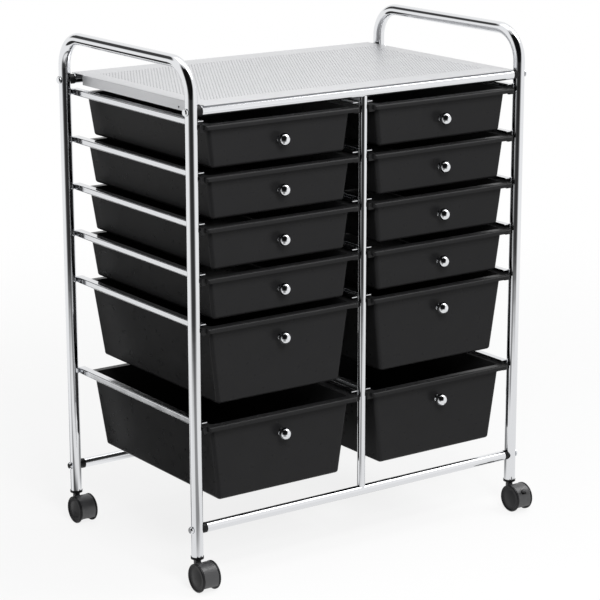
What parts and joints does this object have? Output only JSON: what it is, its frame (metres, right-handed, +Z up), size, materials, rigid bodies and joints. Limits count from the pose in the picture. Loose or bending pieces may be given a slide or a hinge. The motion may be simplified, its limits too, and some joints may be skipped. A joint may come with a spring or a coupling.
{
  "type": "rolling drawer cart",
  "caption": "Rolling cart with a chrome tube frame, two columns of sliding black plastic drawers, a perforated metal top tray and swivel casters.",
  "frame": {"origin": "on the floor, under the middle of the whole cart's box", "axes": "+X to the right as seen from the front, -Y towards the front where the knobs are, +Z up"},
  "size_m": [0.6568, 0.4323, 0.816],
  "materials": {
    "chrome_tube": "polished chrome plate",
    "rail_chrome": "polished chrome plate on bent sheet",
    "bolt_chrome": "polished chrome plate",
    "knob_chrome": "polished chrome plate",
    "tray_sheet": "satin silver powder coat on perforated sheet",
    "drawer_plastic": "satin black polypropylene",
    "black_fitting": "black moulded plastic",
    "caster_plastic": "black moulded nylon with a soft sheen",
    "wheel_nylon": "black nylon",
    "pin_steel": "zinc-plated steel"
  },
  "bodies": {
    "frame": {"bar_end_plugs": "black_fitting", "bottom_front_bar": "chrome_tube", "bottom_rear_bar": "chrome_tube", "caster_stems": "pin_steel", "center_front_post": "chrome_tube", "center_left_rails": "rail_chrome", "center_rear_post": "chrome_tube", "center_right_rails": "rail_chrome", "frame_bolts": "bolt_chrome", "left_side_rails": "rail_chrome", "left_u_tube": "chrome_tube", "leg_sockets": "black_fitting", "right_side_rails": "rail_chrome", "right_u_tube": "chrome_tube", "top_front_bar": "chrome_tube", "top_rear_bar": "chrome_tube", "top_tray": "tray_sheet"},
    "drawer_left_1": {"left_drawer_1": "drawer_plastic", "left_knob_1": "knob_chrome"},
    "drawer_left_2": {"left_drawer_2": "drawer_plastic", "left_knob_2": "knob_chrome"},
    "drawer_left_3": {"left_drawer_3": "drawer_plastic", "left_knob_3": "knob_chrome"},
    "drawer_left_4": {"left_drawer_4": "drawer_plastic", "left_knob_4": "knob_chrome"},
    "drawer_left_5": {"left_drawer_5": "drawer_plastic", "left_knob_5": "knob_chrome"},
    "drawer_left_6": {"left_drawer_6": "drawer_plastic", "left_knob_6": "knob_chrome"},
    "drawer_right_1": {"right_drawer_1": "drawer_plastic", "right_knob_1": "knob_chrome"},
    "drawer_right_2": {"right_drawer_2": "drawer_plastic", "right_knob_2": "knob_chrome"},
    "drawer_right_3": {"right_drawer_3": "drawer_plastic", "right_knob_3": "knob_chrome"},
    "drawer_right_4": {"right_drawer_4": "drawer_plastic", "right_knob_4": "knob_chrome"},
    "drawer_right_5": {"right_drawer_5": "drawer_plastic", "right_knob_5": "knob_chrome"},
    "drawer_right_6": {"right_drawer_6": "drawer_plastic", "right_knob_6": "knob_chrome"},
    "caster_front_left": {"front_left_caster_hood": "caster_plastic", "front_left_axle": "pin_steel"},
    "wheel_front_left_left": {"front_left_left_wheel": "wheel_nylon"},
    "wheel_front_left_right": {"front_left_right_wheel": "wheel_nylon"},
    "caster_front_right": {"front_right_caster_hood": "caster_plastic", "front_right_axle": "pin_steel"},
    "wheel_front_right_left": {"front_right_left_wheel": "wheel_nylon"},
    "wheel_front_right_right": {"front_right_right_wheel": "wheel_nylon"},
    "brake_front_right": {"front_right_brake_lever": "caster_plastic"},
    "caster_rear_left": {"rear_left_caster_hood": "caster_plastic", "rear_left_axle": "pin_steel"},
    "wheel_rear_left_left": {"rear_left_left_wheel": "wheel_nylon"},
    "wheel_rear_left_right": {"rear_left_right_wheel": "wheel_nylon"},
    "caster_rear_right": {"rear_right_caster_hood": "caster_plastic", "rear_right_axle": "pin_steel"},
    "wheel_rear_right_left": {"rear_right_left_wheel": "wheel_nylon"},
    "wheel_rear_right_right": {"rear_right_right_wheel": "wheel_nylon"},
    "brake_rear_right": {"rear_right_brake_lever": "caster_plastic"}
  },
  "joints": [
    {"name": "left_drawer_1_slide", "type": "slide", "parent": "frame", "child": "drawer_left_1", "axis": [0, -1, 0], "range_m": [0, 0.25]},
    {"name": "left_drawer_2_slide", "type": "slide", "parent": "frame", "child": "drawer_left_2", "axis": [0, -1, 0], "range_m": [0, 0.25]},
    {"name": "left_drawer_3_slide", "type": "slide", "parent": "frame", "child": "drawer_left_3", "axis": [0, -1, 0], "range_m": [0, 0.25]},
    {"name": "left_drawer_4_slide", "type": "slide", "parent": "frame", "child": "drawer_left_4", "axis": [0, -1, 0], "range_m": [0, 0.25]},
    {"name": "left_drawer_5_slide", "type": "slide", "parent": "frame", "child": "drawer_left_5", "axis": [0, -1, 0], "range_m": [0, 0.25]},
    {"name": "left_drawer_6_slide", "type": "slide", "parent": "frame", "child": "drawer_left_6", "axis": [0, -1, 0], "range_m": [0, 0.25]},
    {"name": "right_drawer_1_slide", "type": "slide", "parent": "frame", "child": "drawer_right_1", "axis": [0, -1, 0], "range_m": [0, 0.25]},
    {"name": "right_drawer_2_slide", "type": "slide", "parent": "frame", "child": "drawer_right_2", "axis": [0, -1, 0], "range_m": [0, 0.25]},
    {"name": "right_drawer_3_slide", "type": "slide", "parent": "frame", "child": "drawer_right_3", "axis": [0, -1, 0], "range_m": [0, 0.25]},
    {"name": "right_drawer_4_slide", "type": "slide", "parent": "frame", "child": "drawer_right_4", "axis": [0, -1, 0], "range_m": [0, 0.25]},
    {"name": "right_drawer_5_slide", "type": "slide", "parent": "frame", "child": "drawer_right_5", "axis": [0, -1, 0], "range_m": [0, 0.25]},
    {"name": "right_drawer_6_slide", "type": "slide", "parent": "frame", "child": "drawer_right_6", "axis": [0, -1, 0], "range_m": [0, 0.25]},
    {"name": "front_left_swivel", "type": "hinge", "parent": "frame", "child": "caster_front_left", "pos_m": [-0.312, -0.16803, 0.0442], "axis": [0, 0, 1], "continuous": true},
    {"name": "front_left_left_wheel_spin", "type": "hinge", "parent": "caster_front_left", "child": "wheel_front_left_left", "pos_m": [-0.312, -0.18803, 0.0225], "axis": [1, 0, 0], "continuous": true},
    {"name": "front_left_right_wheel_spin", "type": "hinge", "parent": "caster_front_left", "child": "wheel_front_left_right", "pos_m": [-0.312, -0.18803, 0.0225], "axis": [1, 0, 0], "continuous": true},
    {"name": "front_right_swivel", "type": "hinge", "parent": "frame", "child": "caster_front_right", "pos_m": [0.312, -0.16803, 0.0442], "axis": [0, 0, 1], "continuous": true},
    {"name": "front_right_left_wheel_spin", "type": "hinge", "parent": "caster_front_right", "child": "wheel_front_right_left", "pos_m": [0.312, -0.18803, 0.0225], "axis": [1, 0, 0], "continuous": true},
    {"name": "front_right_right_wheel_spin", "type": "hinge", "parent": "caster_front_right", "child": "wheel_front_right_right", "pos_m": [0.312, -0.18803, 0.0225], "axis": [1, 0, 0], "continuous": true},
    {"name": "front_right_brake_press", "type": "hinge", "parent": "caster_front_right", "child": "brake_front_right", "pos_m": [0.312, -0.19653, 0.035], "axis": [1, 0, 0], "range_deg": [0, 18]},
    {"name": "rear_left_swivel", "type": "hinge", "parent": "frame", "child": "caster_rear_left", "pos_m": [-0.312, 0.20597, 0.0442], "axis": [0, 0, 1], "continuous": true},
    {"name": "rear_left_left_wheel_spin", "type": "hinge", "parent": "caster_rear_left", "child": "wheel_rear_left_left", "pos_m": [-0.312, 0.18597, 0.0225], "axis": [1, 0, 0], "continuous": true},
    {"name": "rear_left_right_wheel_spin", "type": "hinge", "parent": "caster_rear_left", "child": "wheel_rear_left_right", "pos_m": [-0.312, 0.18597, 0.0225], "axis": [1, 0, 0], "continuous": true},
    {"name": "rear_right_swivel", "type": "hinge", "parent": "frame", "child": "caster_rear_right", "pos_m": [0.312, 0.20597, 0.0442], "axis": [0, 0, 1], "continuous": true},
    {"name": "rear_right_left_wheel_spin", "type": "hinge", "parent": "caster_rear_right", "child": "wheel_rear_right_left", "pos_m": [0.312, 0.18597, 0.0225], "axis": [1, 0, 0], "continuous": true},
    {"name": "rear_right_right_wheel_spin", "type": "hinge", "parent": "caster_rear_right", "child": "wheel_rear_right_right", "pos_m": [0.312, 0.18597, 0.0225], "axis": [1, 0, 0], "continuous": true},
    {"name": "rear_right_brake_press", "type": "hinge", "parent": "caster_rear_right", "child": "brake_rear_right", "pos_m": [0.312, 0.17747, 0.035], "axis": [1, 0, 0], "range_deg": [0, 18]}
  ]
}
